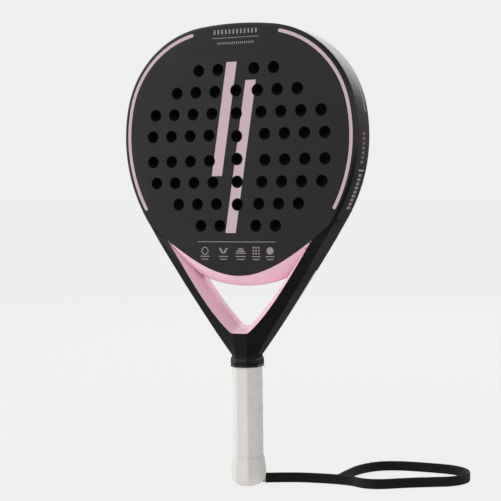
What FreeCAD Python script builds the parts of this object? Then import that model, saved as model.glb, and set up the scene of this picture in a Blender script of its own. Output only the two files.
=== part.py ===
import FreeCAD, Part
import math
import os
import Sketcher
from FreeCAD import Placement, Rotation, Vector

# A padel racket that stands on its butt cap: X to the right, Y from the front face to the rear
# face, Z up the handle. The origin is the middle of the butt cap's underside.

doc = FreeCAD.newDocument("padel_racket")
sheet = doc.addObject("Spreadsheet::Sheet", "sizes")

DRIVING = [
    # overall
    ("overall_length", 455.0), ("half_thick", 19.0), ("face_thick", 1.0),
    # head outline: four arcs in a row from the top to the throat, each tangent to the next
    ("crown_radius", 306.0), ("crown_sweep", 7.14), ("shoulder_radius", 97.1),
    ("shoulder_sweep", 70.8), ("side_radius", 152.8), ("side_sweep", 43.3),
    ("flank_radius", 2258.0), ("flank_sweep", 3.5),
    # composite frame
    ("rim_bevel", 2.5), ("tube_width", 12.0), ("filler_inset", 3.5), ("filler_width", 6.0),
    ("filler_half_depth", 10.0), ("filler_end", 165.0), ("arm_top", 262.0),
    ("core_bottom", 221.0), ("core_bottom_radius", 120.0),
    # drilled holes
    ("hole_radius", 5.9), ("pattern_centre", 334.0), ("first_row", 12.5), ("row_pitch", 21.2),
    ("column_pitch", 20.7), ("inner_column", 29.7), ("inner_step", 3.5), ("centre_pitch", 22.16),
    # handle: an octagon with its corners cut at 45 degrees
    ("grip_half_width", 13.3), ("grip_half_depth", 14.8), ("grip_corner", 7.1),
    ("grip_thick", 1.8), ("neck_bottom", 126.0), ("neck_top", 130.2),
    ("leg_half_gap", 1.0), ("leg_half_width", 8.0), ("leg_half_depth", 9.0),
    ("leg_bottom", 16.0), ("pallet_bottom", 13.0),
    # collar, tape and butt cap
    ("cap_height", 29.0), ("skirt_top", 40.0), ("skirt_thick", 0.9), ("cap_play", 0.05),
    ("grip_top", 124.5),
    ("tape_bottom", 119.5), ("tape_thick", 0.3), ("collar_bottom", 118.6),
    ("collar_gap", 0.4), ("collar_wall", 1.0), ("collar_height", 9.2), ("collar_lip", 1.4),
    # wrist strap
    ("strap_width", 10.0), ("strap_thick", 2.6), ("strap_lift", 0.2), ("strap_play", 0.4),
    ("chamber_floor", 1.5), ("chamber_half", 4.5), ("pin_radius", 1.5), ("pin_offset", 1.5),
    ("strap_reach", 17.6), ("swivel_gap", 0.4), ("root_top", 10.2),
    ("staple_radius", 0.4), ("staple_half_width", 4.0), ("staple_leg", 3.8),
    ("staple_height", 35.0), ("stitch_width", 7.0), ("stitch_thick", 0.4),
]
for row, (name, value) in enumerate(DRIVING, start=1):
    sheet.set(f"A{row}", name)
    sheet.set(f"B{row}", str(value))
    sheet.setAlias(f"B{row}", name)
doc.recompute()


def size(name):
    """A driving dimension, read from the sheet."""
    return float(sheet.get(name))


def keep(label, shape):
    """A sub-part whose shape is made by code from the sheet's sizes."""
    made = doc.addObject("Part::Feature", label)
    made.Label = label
    made.Shape = shape
    made.Placement = Placement(Vector(0, 0, 0), Rotation())
    return made


# ---------------------------------------------------------------- outline of the head and arms


def outline_arcs(inset):
    """Centre, radius, start and end heading of the right half's arcs, from the top down."""
    arcs = []
    place = Vector(0, 0, size("overall_length"))
    heading = 0.0
    for name in ("crown", "shoulder", "side", "flank"):
        radius = size(name + "_radius")
        turned = heading + math.radians(size(name + "_sweep"))
        centre = place - Vector(math.sin(heading), 0, math.cos(heading)) * radius
        place = centre + Vector(math.sin(turned), 0, math.cos(turned)) * radius
        arcs.append((centre, radius - inset, heading, turned))
        heading = turned
    return arcs


def on_arc(arc, heading):
    """The point of an outline arc where the outline runs at this heading."""
    centre, radius, _, _ = arc
    return centre + Vector(math.sin(heading), 0, math.cos(heading)) * radius


def mirrored(point):
    return Vector(-point.x, point.y, point.z)


def arc_edge(arc, first, last):
    ends = [on_arc(arc, heading) for heading in (first, (first + last) / 2, last)]
    return Part.Arc(*ends).toShape()


def heading_at(arc, height):
    """The heading where an arc comes down to a height."""
    centre, radius, _, _ = arc
    return math.pi - math.acos((centre.z - height) / radius)


def right_side(inset, height=None):
    """Edges of the right half from the top down, to a height on the flank or to its end."""
    arcs = outline_arcs(inset)
    edges = []
    for arc in arcs[:-1]:
        edges.append(arc_edge(arc, arc[2], arc[3]))
    flank = arcs[-1]
    last = flank[3] if height is None else heading_at(flank, height)
    edges.append(arc_edge(flank, flank[2], last))
    return edges, on_arc(flank, last), last


def other_side(edges):
    """The same arcs and lines on the left half."""
    made = []
    for edge in edges:
        first, last = edge.ParameterRange
        ends = [mirrored(edge.valueAt(at)) for at in (first, (first + last) / 2, last)]
        if isinstance(edge.Curve, Part.Circle):
            made.append(Part.Arc(*ends).toShape())
        else:
            made.append(Part.makeLine(ends[0], ends[2]))
    return made


def closed_outline(inset, height, below):
    """A wire: both halves down to a height on the flank, then through the points below."""
    edges, end, _ = right_side(inset, height)
    left = other_side(edges)
    path = [end] + below + [mirrored(end)]
    lines = [Part.makeLine(a, b) for a, b in zip(path, path[1:])]
    return Part.Wire(Part.__sortEdges__(edges + left + lines))


def prism(wires, near, far):
    """A flat face in the XZ plane, given thickness between two depths."""
    face = Part.Face(wires)
    face.translate(Vector(0, near, 0))
    return face.extrude(Vector(0, far - near, 0))


def polygon(points):
    """A closed wire through (x, z) points in the XZ plane."""
    corners = [Vector(x, 0, z) for x, z in points]
    return Part.makePolygon(corners + corners[:1])


def neck_corner(inset):
    """Where the arm's straight outer edge comes down to the neck, and the arm's edge above it."""
    _, end, heading = right_side(inset)
    along = Vector(math.cos(heading), 0, -math.sin(heading))
    width = size("grip_half_width")
    return end + along * ((end.x - width) / -along.x)


# ---------------------------------------------------------------- throat opening

# Cubic edges of the throat as (x, z) poles: first on the front face, then half way through,
# where the tube walls bulge furthest into the opening. The walls between them are parabolas.
TIP = ((77.0, 243.7), (48.4, 208.8))
ARM_FOOT = ((12.0, 155.3), (8.0, 161.7))
SILL_END = ((6.7, 152.4), (3.0, 159.2))
BRIDGE_POLE = ((15.6, 197.4), (20.9, 194.8))
ARM_POLES = (((53.9, 207.7), (34.9, 175.7)), ((35.9, 193.7), (20.4, 174.9)))
FOOT_POLE = ((8.75, 152.4), (5.6, 159.2))


def flip(point):
    return (-point[0], point[1])


def between(a, b, share):
    return (a[0] + (b[0] - a[0]) * share, a[1] + (b[1] - a[1]) * share)


def throat_edges(level):
    """The opening's six edges at the front face (0) or half way through (1), tip to tip."""
    tip, foot, end = TIP[level], ARM_FOOT[level], SILL_END[level]
    pole, (upper, lower), knee = BRIDGE_POLE[level], ARM_POLES[level], FOOT_POLE[level]
    bridge = [flip(tip), flip(pole), pole, tip]
    arm = [tip, upper, lower, foot]
    corner = [foot, between(foot, knee, 2 / 3), between(end, knee, 2 / 3), end]
    sill = [end, between(end, flip(end), 1 / 3), between(end, flip(end), 2 / 3), flip(end)]
    left_corner = [flip(point) for point in reversed(corner)]
    left_arm = [flip(point) for point in reversed(arm)]
    return [bridge, arm, corner, sill, left_corner, left_arm]


def throat_solid(overrun):
    """The opening as a closed solid that runs past both faces by the overrun."""
    reach = size("half_thick") + overrun
    past = (reach / size("half_thick")) ** 2 - 1
    walls = []
    ends = ([], [])
    for front, middle in zip(throat_edges(0), throat_edges(1)):
        outer = [between(f, m, -past) for f, m in zip(front, middle)]
        pulled = [between(o, m, 2) for o, m in zip(outer, middle)]
        rows = [(outer, -reach), (pulled, 0.0), (outer, reach)]
        surface = Part.BezierSurface()
        surface.increase(3, 2)
        for i, (line, depth) in enumerate(rows, start=1):
            for j, (x, z) in enumerate(line, start=1):
                surface.setPole(j, i, Vector(x, depth, z))
        walls.append(surface.toShape())
        for side, (line, depth) in zip(ends, (rows[0], rows[2])):
            curve = Part.BezierCurve()
            curve.setPoles([Vector(x, depth, z) for x, z in line])
            side.append(curve.toShape())
    caps = [Part.Face(Part.Wire(side)) for side in ends]
    shell = Part.Shell(walls + caps)
    shell.sewShape()
    solid = Part.Solid(Part.Shell(shell.Faces))
    return solid if solid.Volume > 0 else solid.reversed()


# ---------------------------------------------------------------- moulded outside of the frame

# Sections of the arms at three heights, above the handle's own octagon: half width of the flat
# front facet, half depth there, and half depth of the flat outer side.
ARM_SECTIONS = [(153.0, 8.0, 18.6, 10.5), (200.0, 48.0, 19.0, 14.0), (244.0, 76.0, 19.0, 16.5)]
SECTION_OVERRUN = 3.0  # the loft is wider than the outline, which trims it
OVERRUN = 2.0  # how far a cutting shape runs past what it cuts
WIDE = 150.0  # beyond the racket's sides
HIGH = 500.0  # above its top


def eight_sided(half_width, half_depth, front, side, height):
    """An octagon in a level plane; front and side are half widths of its facets."""
    quarter = [(front, half_depth), (half_width, side)]
    ring = [(x, -y) for x, y in quarter] + [(x, y) for x, y in reversed(quarter)]
    ring += [(-x, -y) for x, y in ring]
    return Part.makePolygon([Vector(x, y, height) for x, y in ring + ring[:1]])


def outline_half_width(height):
    """Half width of the outline on the flank or on the arm's straight edge."""
    flank = outline_arcs(0.0)[-1]
    end = on_arc(flank, flank[3])
    if height > end.z:
        return on_arc(flank, heading_at(flank, height)).x
    along = Vector(math.cos(flank[3]), 0, -math.sin(flank[3]))
    return end.x + along.x * ((height - end.z) / along.z)


def arm_envelope():
    """Neck and arms with their slanted facets, a little wider than the outline."""
    width, depth, corner = (size(n) for n in ("grip_half_width", "grip_half_depth", "grip_corner"))
    handle = (width, depth, width - corner, depth - corner)
    rings = [eight_sided(*handle, size(name)) for name in ("neck_bottom", "neck_top")]
    flank = outline_arcs(0.0)[-1]
    top = size("arm_top")
    bevel = size("rim_bevel")
    level_bevel = bevel / math.sin(heading_at(flank, top))
    front = outline_half_width(top) - level_bevel
    thick = size("half_thick")
    for height, flat, deep, side in ARM_SECTIONS + [(top, front, thick, thick - bevel)]:
        edge = outline_half_width(height)
        slope = (deep - side) / (edge - flat)
        rings.append(eight_sided(edge + SECTION_OVERRUN, deep, flat,
                                 side - slope * SECTION_OVERRUN, height))
    return Part.makeLoft(rings, True, True)


def racket_envelope():
    """The racket's moulded outside from the neck to the top, with the throat open."""
    thick = size("half_thick")
    top = size("arm_top")
    head = prism([closed_outline(0.0, top, [])], -thick, thick)
    on_faces = [edge for edge in head.Edges if abs(abs(edge.CenterOfMass.y) - thick) < 0.01]
    rim = [edge for edge in on_faces if edge.BoundBox.ZMax > top + 1]
    head = head.makeChamfer(size("rim_bevel"), rim)
    corner = neck_corner(0.0)
    edges, end, _ = right_side(0.0)
    low = Vector(corner.x, 0, size("neck_bottom"))
    arm_path = [end, corner, low, mirrored(low), mirrored(corner), mirrored(end)]
    whole = edges + other_side(edges)
    whole += [Part.makeLine(a, b) for a, b in zip(arm_path, arm_path[1:])]
    body = prism([Part.Wire(Part.__sortEdges__(whole))], -thick, thick)
    return head.fuse(body.common(arm_envelope())).removeSplitter().cut(throat_solid(OVERRUN))


# ---------------------------------------------------------------- core, faces, frame and bridge


def hole_places():
    """Centres of the drilled holes: eight rows and a centre column, as (x, z)."""
    middle = size("pattern_centre")
    places = []
    for row, count in enumerate((4, 4, 3, 2)):
        rise = size("first_row") + row * size("row_pitch")
        nearest = size("inner_column") - row * size("inner_step")
        for column in range(count):
            across = nearest + column * size("column_pitch")
            places += [(sx * across, middle + sz * rise) for sx in (1, -1) for sz in (1, -1)]
    for step in (0.5, 1.5, 2.5):
        rise = step * size("centre_pitch")
        places += [(0.0, middle + rise), (0.0, middle - rise)]
    return places


FACE_DROP = 4.0  # the face's lower corners lie this far below the top of the arms
VALLEY = ((0.0, 188.2), (89.8, 224.6))  # the joint of bridge and arms, as two (x, z) points
CORE_ARCH = 75.0  # half of the arc under the core, in degrees, which reaches past the outline
BRIDGE_FILLER_ANGLE = 19.0
BRIDGE_FILLER_EXTRA = 2.0  # the bridge's foam bar is that much thicker than the frame's


def face_wire():
    """Edge of the laminated face: the outline inside the bevel, closed below by the bridge."""
    tip = Vector(TIP[0][0], 0, TIP[0][1])
    edges, end, _ = right_side(size("rim_bevel"), size("arm_top") - FACE_DROP)
    bridge = Part.BezierCurve()
    bridge.setPoles([Vector(x, 0, z) for x, z in throat_edges(0)[0]])
    left = other_side(edges)
    shoulders = [Part.makeLine(end, tip), Part.makeLine(mirrored(tip), mirrored(end))]
    return Part.Wire(Part.__sortEdges__(edges + left + shoulders + [bridge.toShape()]))


def arch(radius_change, half_angle):
    """Ends and middle of an arc that runs round with the core's lower edge."""
    radius = size("core_bottom_radius") + radius_change
    centre = size("core_bottom") + size("core_bottom_radius")
    angles = (-half_angle, 0.0, half_angle)
    return [Vector(radius * math.sin(a), 0, centre - radius * math.cos(a)) for a in angles]


def core_region(near, far):
    """Everything inside the frame tube and above the bridge."""
    inside = inner_region(near, far)
    left, low, right = arch(0.0, math.radians(CORE_ARCH))
    over = [right, Vector(WIDE, 0, right.z), Vector(WIDE, 0, HIGH), Vector(-WIDE, 0, HIGH),
            Vector(-WIDE, 0, left.z), left]
    lines = [Part.makeLine(a, b) for a, b in zip(over, over[1:])]
    wire = Part.Wire([Part.Arc(left, low, right).toShape()] + lines)
    return inside.common(prism([wire], near, far))


def inside_outline(inset, near, far):
    """Everything inside the outline moved inwards, down to where the arms reach the neck."""
    corner = neck_corner(inset)
    return prism([closed_outline(inset, None, [corner, mirrored(corner)])], near, far)


def inner_region(near, far):
    """Inside the frame tube, from the top down to the valley below the bridge."""
    (x0, z0), (x1, z1) = VALLEY
    below = polygon([(x0, z0), (x1, z1), (WIDE, z1), (WIDE, 0), (-WIDE, 0), (-WIDE, z1),
                     (-x1, z1)])
    inside = inside_outline(size("tube_width"), near, far)
    return inside.cut(prism([below], near - OVERRUN, far + OVERRUN))


def filler_region():
    """The foam inside the frame tube: a hairpin that ends in the two arms."""
    deep = size("filler_half_depth")
    half = []
    feet = []
    for inset in (size("filler_inset"), size("filler_inset") + size("filler_width")):
        edges, foot, _ = right_side(inset, size("filler_end"))
        half += edges
        feet.append(foot)
    half.append(Part.makeLine(*feet))
    wire = Part.Wire(Part.__sortEdges__(half + other_side(half)))
    return prism([wire], -deep, deep)


def bridge_filler_region():
    """The foam bar inside the bridge, bent along the core's lower edge."""
    deep = size("filler_half_depth")
    half_angle = math.radians(BRIDGE_FILLER_ANGLE)
    upper = arch(size("filler_inset"), half_angle)
    lower = arch(size("filler_inset") + size("filler_width") + BRIDGE_FILLER_EXTRA, half_angle)
    edges = [Part.Arc(*upper).toShape(), Part.Arc(*lower).toShape(),
             Part.makeLine(upper[0], lower[0]), Part.makeLine(upper[2], lower[2])]
    return prism([Part.Wire(Part.__sortEdges__(edges))], -deep, deep)


envelope = racket_envelope()
thick = size("half_thick")
under_face = thick - size("face_thick")
skins = [prism([face_wire()], -thick, -under_face), prism([face_wire()], under_face, thick)]
sandwich = core_region(-under_face, under_face)
shell = envelope.cut(skins[0].copy()).cut(skins[1].copy())
bridge_block = shell.common(inner_region(-thick, thick)).cut(core_region(-thick, thick))

# The two tube ends run side by side down the handle as flat legs.
frame_filler = filler_region()
frame_block = shell.cut(inner_region(-thick, thick)).cut(frame_filler.copy())
leg_width = size("leg_half_width") - size("leg_half_gap")
leg_length = size("neck_bottom") - size("leg_bottom")
for left_edge in (size("leg_half_gap"), -size("leg_half_width")):
    leg = Part.makeBox(leg_width, 2 * size("leg_half_depth"), leg_length,
                       Vector(left_edge, -size("leg_half_depth"), size("leg_bottom")))
    frame_block = frame_block.fuse(leg)
keep("frame_tube", frame_block.removeSplitter())
keep("frame_foam", frame_filler)

bridge_filler = bridge_filler_region()
keep("bridge_tube", bridge_block.cut(bridge_filler.copy()).removeSplitter())
keep("bridge_foam", bridge_filler)

drills = [Part.makeCylinder(size("hole_radius"), 2 * thick, Vector(x, -thick, z), Vector(0, 1, 0))
          for x, z in hole_places()]
keep("eva_core", sandwich.cut(drills))
keep("front_face", skins[0].cut(drills))
keep("rear_face", skins[1].cut(drills))


# ---------------------------------------------------------------- handle: drawn octagon rings


def plane_of(body, role):
    for feature in body.Origin.OriginFeatures:
        if feature.Role == role:
            return feature
    raise ValueError(role)


def new_body(label):
    body = doc.addObject("PartDesign::Body", label)
    body.Label = label
    return body


def new_sketch(body, name, role, offset="0"):
    """A sketch on one of the body's own planes, at a distance given by an expression."""
    sketch = body.newObject("Sketcher::SketchObject", name)
    sketch.AttachmentSupport = [(plane_of(body, role), "")]
    sketch.MapMode = "FlatFace"
    sketch.setExpression("AttachmentOffset.Base.z", offset)
    return sketch


CORNER_GAIN = 2 - math.sqrt(2)  # how much the cut corner grows with the octagon


def octagon_sizes(grow, text):
    """Half width and depth of the grown octagon and of its facets, each as number and text."""
    width = size("grip_half_width") + grow
    depth = size("grip_half_depth") + grow
    corner = size("grip_corner") + CORNER_GAIN * grow
    wide_text = f"(sizes.grip_half_width + {text})"
    deep_text = f"(sizes.grip_half_depth + {text})"
    corner_text = f"(sizes.grip_corner + {CORNER_GAIN:.6f} * ({text}))"
    near_wide = (width - corner, f"({wide_text} - {corner_text})")
    near_deep = (depth - corner, f"({deep_text} - {corner_text})")
    return (width, wide_text), (depth, deep_text), near_wide, near_deep


def draw_octagon(sketch, grow, text):
    """The handle's octagon, larger all round by grow, which the text says in sheet sizes."""
    wide, deep, near_wide, near_deep = octagon_sizes(grow, text)
    quarter = [(near_wide, deep, 1, -1), (wide, near_deep, 1, -1), (wide, near_deep, 1, 1),
               (near_wide, deep, 1, 1)]
    ring = quarter + [(x, y, -sx, -sy) for x, y, sx, sy in quarter]
    draw_ring(sketch, ring)


def draw_ring(sketch, ring):
    """A closed polygon; each corner is an x and a y, as number and text, and their signs."""
    first = sketch.GeometryCount
    points = [Vector(sx * x[0], sy * y[0], 0) for x, y, sx, sy in ring]
    for here, there in zip(points, points[1:] + points[:1]):
        sketch.addGeometry(Part.LineSegment(here, there), False)
    for i in range(len(ring)):
        after = first + (i + 1) % len(ring)
        sketch.addConstraint(Sketcher.Constraint("Coincident", first + i, 2, after, 1))
    for i, (x, y, sx, sy) in enumerate(ring):
        for kind, (number, text), sign in (("DistanceX", x, sx), ("DistanceY", y, sy)):
            rule = Sketcher.Constraint(kind, -1, 1, first + i, 1, sign * number)
            place = sketch.addConstraint(rule)
            sketch.setExpression(f"Constraints[{place}]", f"{sign} * {text}")


def pad(body, sketch, name, length, kind="PartDesign::Pad"):
    feature = body.newObject(kind, name)
    feature.Profile = sketch
    feature.setExpression("Length", length)
    return feature


def octagon_ring(label, bottom, height, outer, inner):
    """An octagonal sleeve; outer and inner are pairs of growth and its text."""
    body = new_body(label)
    sketch = new_sketch(body, label + "_section", "XY_Plane", bottom)
    draw_octagon(sketch, *outer)
    draw_octagon(sketch, *inner)
    pad(body, sketch, label + "_pad", height)
    return body


def half_octagon(label, sign):
    """One of the two handle pallets, closed round the frame's legs."""
    body = new_body(label)
    sketch = new_sketch(body, label + "_section", "XY_Plane", "sizes.pallet_bottom")
    wide, deep, near_wide, near_deep = octagon_sizes(*PALLET_GROWTH)
    leg_x = (size("leg_half_width"), "sizes.leg_half_width")
    leg_y = (size("leg_half_depth"), "sizes.leg_half_depth")
    gap = (size("leg_half_gap"), "sizes.leg_half_gap")
    none = (0.0, "0")
    right = [(gap, none), (gap, leg_y), (leg_x, leg_y), (leg_x, none), (wide, none),
             (wide, near_deep), (near_wide, deep)]
    ring = [(x, y, 1, sign) for x, y in right] + [(x, y, -1, sign) for x, y in reversed(right)]
    draw_ring(sketch, ring)
    pad(body, sketch, label + "_pad", "sizes.neck_bottom - sizes.pallet_bottom")
    return body


PALLET_GROWTH = (-size("grip_thick"), "-sizes.grip_thick")
half_octagon("handle_pallet_front", -1)
half_octagon("handle_pallet_rear", 1)


# ---------------------------------------------------------------- butt cap, grip and collar

# Height and growth over the handle's octagon: the rounded foot, the flare and the shoulder.
CAP_PROFILE = [(0.0, -8.0), (2.0, -3.4), (5.0, 0.2), (9.0, 1.9), (14.0, 2.1), (22.0, 1.6)]
CAP_SHOULDER = 0.3
NO_GROWTH = (0.0, "0")
SOCKET_GROWTH = (size("cap_play") - size("grip_thick"), "sizes.cap_play - sizes.grip_thick")
SKIRT_GROWTH = (SOCKET_GROWTH[0] + size("skirt_thick"),
                SOCKET_GROWTH[1] + " + sizes.skirt_thick")


def hollow(body, sketch, name, length, upwards=False):
    """A pocket that goes down from its sketch, or up, checked to have removed something."""
    doc.recompute()
    before = body.Shape.Volume
    pocket = pad(body, sketch, name, length, "PartDesign::Pocket")
    pocket.Reversed = upwards
    doc.recompute()
    if body.Shape.Volume > before - 1:
        raise ValueError(name + " removes nothing")


def draw_box(sketch, points):
    """A closed polygon through plain points, fixed where they are."""
    first = sketch.GeometryCount
    for here, there in zip(points, points[1:] + points[:1]):
        sketch.addGeometry(Part.LineSegment(Vector(*here, 0), Vector(*there, 0)), False)
    for i in range(len(points)):
        after = first + (i + 1) % len(points)
        sketch.addConstraint(Sketcher.Constraint("Coincident", first + i, 2, after, 1))
        sketch.addConstraint(Sketcher.Constraint("Block", first + i))


cap = new_body("butt_cap")
sections = []
profile = [(f"{height}", grow) for height, grow in CAP_PROFILE]
for number, (height, grow) in enumerate(profile + [("sizes.cap_height", CAP_SHOULDER)]):
    section = new_sketch(cap, f"cap_section_{number}", "XY_Plane", height)
    draw_octagon(section, grow, f"{grow}")
    sections.append(section)
doc.recompute()
loft = cap.newObject("PartDesign::AdditiveLoft", "cap_loft")
loft.Profile = sections[0]
loft.Sections = sections[1:]
loft.Ruled = True
skirt_sketch = new_sketch(cap, "cap_skirt", "XY_Plane", "sizes.cap_height")
draw_octagon(skirt_sketch, *SKIRT_GROWTH)
pad(cap, skirt_sketch, "cap_skirt_pad", "sizes.skirt_top - sizes.cap_height")
socket_sketch = new_sketch(cap, "cap_socket", "XY_Plane", "sizes.skirt_top")
draw_octagon(socket_sketch, *SOCKET_GROWTH)
hollow(cap, socket_sketch, "cap_socket_cut", "sizes.skirt_top - sizes.pallet_bottom")

# The strap runs out of a chamber round its pin, through a slot at 45 degrees to the rear right.
ALONG = Vector(1, 1, 0) * (1 / math.sqrt(2))
ACROSS = Vector(-1, 1, 0) * (1 / math.sqrt(2))
PIN = Vector(0, size("pin_offset"), 0)
PIVOT = PIN + ALONG * size("strap_reach")
room = size("chamber_half")
chamber = new_sketch(cap, "strap_chamber", "XY_Plane", "sizes.chamber_floor")
draw_box(chamber, [(PIN.x + sx * room, PIN.y + sy * room)
                   for sx, sy in ((-1, -1), (1, -1), (1, 1), (-1, 1))])
hollow(cap, chamber, "strap_chamber_cut", "sizes.pallet_bottom - sizes.chamber_floor",
       upwards=True)
slot_half = size("strap_thick") / 2 + size("strap_play")
beyond = PIVOT + ALONG * OVERRUN * 2
slot_ends = [(PIN, -1), (beyond, -1), (beyond, 1), (PIN, 1)]
slot = new_sketch(cap, "strap_slot", "XY_Plane", "sizes.chamber_floor")
draw_box(slot, [tuple(end + ACROSS * side * slot_half)[:2] for end, side in slot_ends])
hollow(cap, slot, "strap_slot_cut",
       "sizes.root_top + sizes.strap_play - sizes.chamber_floor", upwards=True)

grip = octagon_ring("grip_wrap", "sizes.cap_height", "sizes.grip_top - sizes.cap_height",
                    NO_GROWTH, PALLET_GROWTH)
over_skirt = new_sketch(grip, "grip_over_skirt", "XY_Plane", "sizes.cap_height")
draw_octagon(over_skirt, *SKIRT_GROWTH)
hollow(grip, over_skirt, "grip_over_skirt_cut", "sizes.skirt_top - sizes.cap_height",
       upwards=True)
octagon_ring("finishing_tape", "sizes.tape_bottom", "sizes.grip_top - sizes.tape_bottom",
             (size("tape_thick"), "sizes.tape_thick"), NO_GROWTH)

collar_bore = (size("collar_gap"), "sizes.collar_gap")
collar_wall = (size("collar_gap") + size("collar_wall"), "sizes.collar_gap + sizes.collar_wall")
collar = octagon_ring("collar", "sizes.collar_bottom", "sizes.collar_height", collar_wall,
                      collar_bore)
COLLAR_LIP = 0.5
lip = new_sketch(collar, "collar_lip", "XY_Plane", "sizes.collar_bottom")
draw_octagon(lip, collar_wall[0] + COLLAR_LIP, f"{collar_wall[1]} + {COLLAR_LIP}")
draw_octagon(lip, *collar_bore)
pad(collar, lip, "collar_lip_pad", "sizes.collar_lip")

pin = doc.addObject("Part::Cylinder", "strap_pin")
pin.Label = "strap_pin"
pin.setExpression("Radius", "sizes.pin_radius")
pin.setExpression("Height", "sizes.pallet_bottom - sizes.chamber_floor")
pin.Placement = Placement(PIN + Vector(0, 0, size("chamber_floor")), Rotation())


def staple():
    """A wire staple on the right side, its legs through the skirt into the pallets."""
    radius = size("staple_radius")
    half = size("staple_half_width")
    face = size("grip_half_width") + SKIRT_GROWTH[0]
    level = size("staple_height")
    crown = Part.makeCylinder(radius, 2 * half, Vector(face - radius, -half, level),
                              Vector(0, 1, 0))
    for side in (-half, half):
        leg = Part.makeCylinder(radius, size("staple_leg"), Vector(face - radius, side, level),
                                Vector(-1, 0, 0))
        crown = crown.fuse(leg)
    return crown.removeSplitter()


right_staple = staple()
left_staple = right_staple.mirror(Vector(0, 0, 0), Vector(1, 0, 0))
keep("butt_staples", Part.Compound([left_staple, right_staple]))


# ---------------------------------------------------------------- wrist strap

# Plan of the free strap, in millimetres from the pivot at the cap's slot: along the stem, round
# the loop, and back to the stem, where its end is sewn on.
ROUTE = [(34.0, 25.0), (62.0, 30.5), (96.0, 31.0), (112.0, 20.5), (130.0, 23.0), (150.0, 38.5),
         (175.0, 52.0), (193.0, 62.0), (202.0, 82.0), (196.0, 103.0), (178.0, 117.0),
         (150.0, 119.5), (118.0, 119.0), (96.0, 108.0), (85.0, 83.0), (83.0, 58.0)]
RADIUS_SHARE = 0.45  # of the shorter run at a corner that its arc takes up
END_GAP = 0.02  # between the strap's end and the stem that it is sewn on


def tangent_path(points):
    """Straight runs joined by arcs that touch both runs."""
    edges = []
    place = points[0]
    radii = []
    for before, corner, after in zip(points, points[1:], points[2:]):
        inward = (corner - before).normalize()
        outward = (after - corner).normalize()
        turn = inward.getAngle(outward)
        reach = RADIUS_SHARE * min((corner - before).Length, (after - corner).Length)
        start = corner - inward * reach
        end = corner + outward * reach
        radius = reach / math.tan(turn / 2)
        middle = corner + (outward - inward).normalize() * (
            radius / math.cos(turn / 2) - radius)
        edges += [Part.makeLine(place, start), Part.Arc(start, middle, end).toShape()]
        place = end
        radii.append(radius)
    edges.append(Part.makeLine(place, points[-1]))
    if len(points) == len(ROUTE) + 2:
        print("strap bend radii", [round(radius, 1) for radius in radii])
    return Part.Wire(edges)


def band(path, start, direction, low, high):
    """The strap's flat section standing on edge, carried along a level path."""
    half = Vector(-direction.y, direction.x, 0).normalize() * (size("strap_thick") / 2)
    corners = [start - half + low, start + half + low, start + half + high,
               start - half + high]
    pipe = Part.BRepOffsetAPI.MakePipeShell(path)
    pipe.setBiNormalMode(Vector(0, 0, 1))
    pipe.add(Part.makePolygon(corners + corners[:1]))
    pipe.build()
    pipe.makeSolid()
    return Part.Solid(Part.Shell(pipe.shape().Faces))


strap_low = size("strap_lift")
strap_top = strap_low + size("strap_width")
level = (strap_low + strap_top) / 2
half_band = size("strap_thick") / 2
to_low = Vector(0, 0, strap_low - level)
to_top = Vector(0, 0, strap_top - level)
lift = Vector(0, 0, level)
points = [PIVOT + lift] + [Vector(x, y, level) for x, y in ROUTE]
last = points[-1]
stem = tangent_path(points[:4])
down = Part.makeLine(last, Vector(last.x, 0, level))
meeting = stem.distToShape(down)[1][0][0]
points.append(meeting + Vector(0, half_band + END_GAP, 0))
path = tangent_path(points)
strap = band(path, points[0], points[1] - points[0], to_low, to_top)
strap_end = Part.makeCylinder(half_band, size("strap_width"), PIVOT + lift + to_low)
expected = path.Length * size("strap_thick") * size("strap_width")
print("strap length", round(path.Length, 1), "volume", round(strap.Volume), "expected",
      round(expected))
keep("strap", strap.fuse(strap_end))

# The part of the strap inside the cap: a sewn eye round the pin and a short tail in the slot.
eye_radius = size("pin_radius") + size("strap_thick")
root_low = size("chamber_floor")
root_height = size("root_top") - root_low
tail_end = size("strap_reach") - half_band - size("swivel_gap")
tail = Part.makeBox(tail_end, size("strap_thick"), root_height)
tail.Placement = Placement(PIN - ACROSS * half_band + Vector(0, 0, root_low),
                           Rotation(Vector(0, 0, 1), 45))
eye = Part.makeCylinder(eye_radius, root_height, PIN + Vector(0, 0, root_low))
bore_cut = Part.makeCylinder(size("pin_radius"), root_height, PIN + Vector(0, 0, root_low))
keep("strap_root", eye.fuse(tail).cut(bore_cut).removeSplitter())

# Thread of the bar tack, on the stem's near face where the far end is sewn on.
stitch = size("stitch_width")
tack = Part.makeBox(stitch, size("stitch_thick"), stitch,
                    Vector(meeting.x - stitch / 2, meeting.y - half_band - size("stitch_thick"),
                           level - stitch / 2))
keep("strap_stitching", tack)


# ---------------------------------------------------------------- check and write

doc.recompute()
NODES = ["frame_tube", "frame_foam", "bridge_tube", "bridge_foam", "eva_core", "front_face",
         "rear_face", "handle_pallet_front", "handle_pallet_rear", "butt_cap", "butt_staples",
         "grip_wrap", "finishing_tape", "collar", "strap_pin", "strap_root", "strap",
         "strap_stitching"]
by_label = {made.Label: made for made in doc.Objects}
for made in doc.Objects:
    if "Invalid" in made.State or "Error" in made.State:
        raise ValueError(f"{made.Label}: {made.State}")
os.makedirs("parts", exist_ok=True)
for node in NODES:
    shape = by_label[node].Shape
    if shape.isNull() or not shape.isValid():
        raise ValueError(f"{node}: bad shape")
    shape.exportStep(f"parts/{node}.step")
    print(node, len(shape.Solids), "solids", round(shape.Volume), "mm3")
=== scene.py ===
import math

import bmesh
import bpy
from mathutils import Matrix, Quaternion, Vector


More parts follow.
